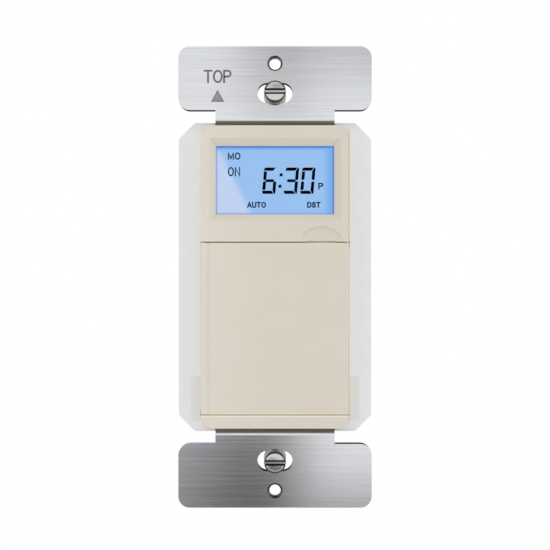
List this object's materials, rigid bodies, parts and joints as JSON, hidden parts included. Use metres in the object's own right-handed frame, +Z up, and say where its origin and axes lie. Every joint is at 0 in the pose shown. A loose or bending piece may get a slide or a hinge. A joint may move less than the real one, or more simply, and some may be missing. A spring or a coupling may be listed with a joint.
{
  "type": "astronomic timer",
  "caption": "In-wall astronomic timer: almond face with backlit display and side-hinged door over its keys, on a brushed steel mounting strap with a pale rear housing.",
  "frame": {"origin": "middle of the two wall plate holes, on the front face of the mounting strap's ears", "axes": "+Z up the wall, +X right seen from the front, +Y into the wall"},
  "size_m": [0.0444, 0.0386, 0.1046],
  "materials": {
    "strap_steel": "fine horizontal brushing",
    "screw_steel": "bright nickel plate",
    "washer_nylon": "moulded, matt",
    "housing_white": "fine spark texture",
    "zinc_steel": "zinc plate",
    "bushing_rubber": "moulded, matt",
    "almond_plastic": "satin",
    "window_clear": "clear, polished",
    "display_blue": "backlit, satin film",
    "frame_white": "moulded",
    "strip_rubber": "layered silicone",
    "guide_acrylic": "diffusing",
    "key_grey": "satin",
    "key_red": "satin",
    "mat_silicone": "moulded silicone",
    "cell_steel": "stainless, satin",
    "contact_nickel": "nickel plate",
    "board_green": "solder mask",
    "chip_black": "epoxy moulding",
    "pin_gold": "gold flash",
    "film_sheet": "fibre paper",
    "relay_blue": "moulded",
    "coil_copper": "enamelled wire",
    "soft_iron": "tin plate",
    "capacitor_sleeve": "shrink sleeve",
    "capacitor_yellow": "moulded box",
    "varistor_blue": "dipped epoxy",
    "fuse_glass": "drawn tube",
    "resistor_body": "fired coating",
    "ground_brass": "stamped"
  },
  "bodies": {
    "timer": {"mounting_strap": "strap_steel", "front_housing": "housing_white", "rear_housing": "housing_white", "housing_screws": "zinc_steel", "lead_bushing": "bushing_rubber", "face_frame": "almond_plastic", "door_hinge_strip": "almond_plastic", "door_web": "almond_plastic", "display_window": "window_clear", "display_front_glass": "display_blue", "display_rear_glass": "display_blue", "display_holder": "frame_white", "contact_strips": "strip_rubber", "light_guide": "guide_acrylic", "reflector_sheet": "frame_white", "backlight_leds": "frame_white", "key_mat": "mat_silicone", "coin_cell": "cell_steel", "battery_leaf": "contact_nickel", "battery_clip": "contact_nickel", "control_board": "board_green", "board_screws": "zinc_steel", "microcontroller": "chip_black", "clock_crystal": "contact_nickel", "chip_parts": "chip_black", "header_socket": "chip_black", "header_pins": "pin_gold", "insulating_sheet": "film_sheet", "power_board": "board_green", "relay_cover": "relay_blue", "relay_base": "chip_black", "relay_coil": "coil_copper", "relay_yoke": "soft_iron", "relay_contact": "pin_gold", "storage_capacitor": "capacitor_sleeve", "film_capacitor": "capacitor_yellow", "varistor": "varistor_blue", "fuse_tube": "fuse_glass", "fuse_caps": "contact_nickel", "rectifier_diodes": "chip_black", "dropper_resistor": "resistor_body", "lead_tabs": "contact_nickel", "ground_terminal": "ground_brass", "ground_rivet": "contact_nickel"},
    "door": {"door_panel": "almond_plastic"},
    "onoff_key": {"onoff_button": "key_grey"},
    "mode_key": {"mode_button": "key_grey"},
    "set_key": {"set_button": "key_grey"},
    "minus_key": {"minus_button": "key_grey"},
    "plus_key": {"plus_button": "key_grey"},
    "reset_key": {"reset_button": "key_red"},
    "battery_lid": {"battery_cover": "almond_plastic"},
    "upper_washer": {"screw_washer_upper": "washer_nylon"},
    "upper_screw": {"box_screw_upper": "screw_steel"},
    "lower_washer": {"screw_washer_lower": "washer_nylon"},
    "lower_screw": {"box_screw_lower": "screw_steel"},
    "armature": {"relay_armature": "soft_iron"}
  },
  "joints": [
    {"name": "door_hinge", "type": "hinge", "parent": "timer", "child": "door", "pos_m": [-0.01456, -0.00655, -0.01134], "axis": [0, 0, -1], "range_deg": [0, 150], "deforming": ["door_web"]},
    {"name": "onoff_press", "type": "slide", "parent": "timer", "child": "onoff_key", "axis": [0, 1, 0], "range_m": [0, 0.0004], "stiffness_N_per_m": 300, "deforming": ["key_mat"]},
    {"name": "mode_press", "type": "slide", "parent": "timer", "child": "mode_key", "axis": [0, 1, 0], "range_m": [0, 0.0004], "stiffness_N_per_m": 300, "deforming": ["key_mat"]},
    {"name": "set_press", "type": "slide", "parent": "timer", "child": "set_key", "axis": [0, 1, 0], "range_m": [0, 0.0004], "stiffness_N_per_m": 300, "deforming": ["key_mat"]},
    {"name": "minus_press", "type": "slide", "parent": "timer", "child": "minus_key", "axis": [0, 1, 0], "range_m": [0, 0.0004], "stiffness_N_per_m": 300, "deforming": ["key_mat"]},
    {"name": "plus_press", "type": "slide", "parent": "timer", "child": "plus_key", "axis": [0, 1, 0], "range_m": [0, 0.0004], "stiffness_N_per_m": 300, "deforming": ["key_mat"]},
    {"name": "reset_press", "type": "slide", "parent": "timer", "child": "reset_key", "axis": [0, 1, 0], "range_m": [0, 0.0004], "stiffness_N_per_m": 300, "deforming": ["key_mat"]},
    {"name": "battery_lid_slide", "type": "slide", "parent": "timer", "child": "battery_lid", "axis": [1, 0, 0], "range_m": [0, 0.0036]},
    {"name": "upper_screw_float", "type": "slide", "parent": "timer", "child": "upper_washer", "axis": [0, -1, 0], "range_m": [0, 0.0021]},
    {"name": "upper_screw_turn", "type": "hinge", "parent": "upper_washer", "child": "upper_screw", "pos_m": [0, 0, 0.04167], "axis": [0, -1, 0], "continuous": true},
    {"name": "lower_screw_float", "type": "slide", "parent": "timer", "child": "lower_washer", "axis": [0, -1, 0], "range_m": [0, 0.0021]},
    {"name": "lower_screw_turn", "type": "hinge", "parent": "lower_washer", "child": "lower_screw", "pos_m": [0, 0, -0.04167], "axis": [0, -1, 0], "continuous": true},
    {"name": "armature_rock", "type": "hinge", "parent": "timer", "child": "armature", "pos_m": [-0.01445, 0.0249, 0.0119], "axis": [0, 0, -1], "range_deg": [0, 3], "stiffness_Nm_per_rad": 0.02}
  ]
}
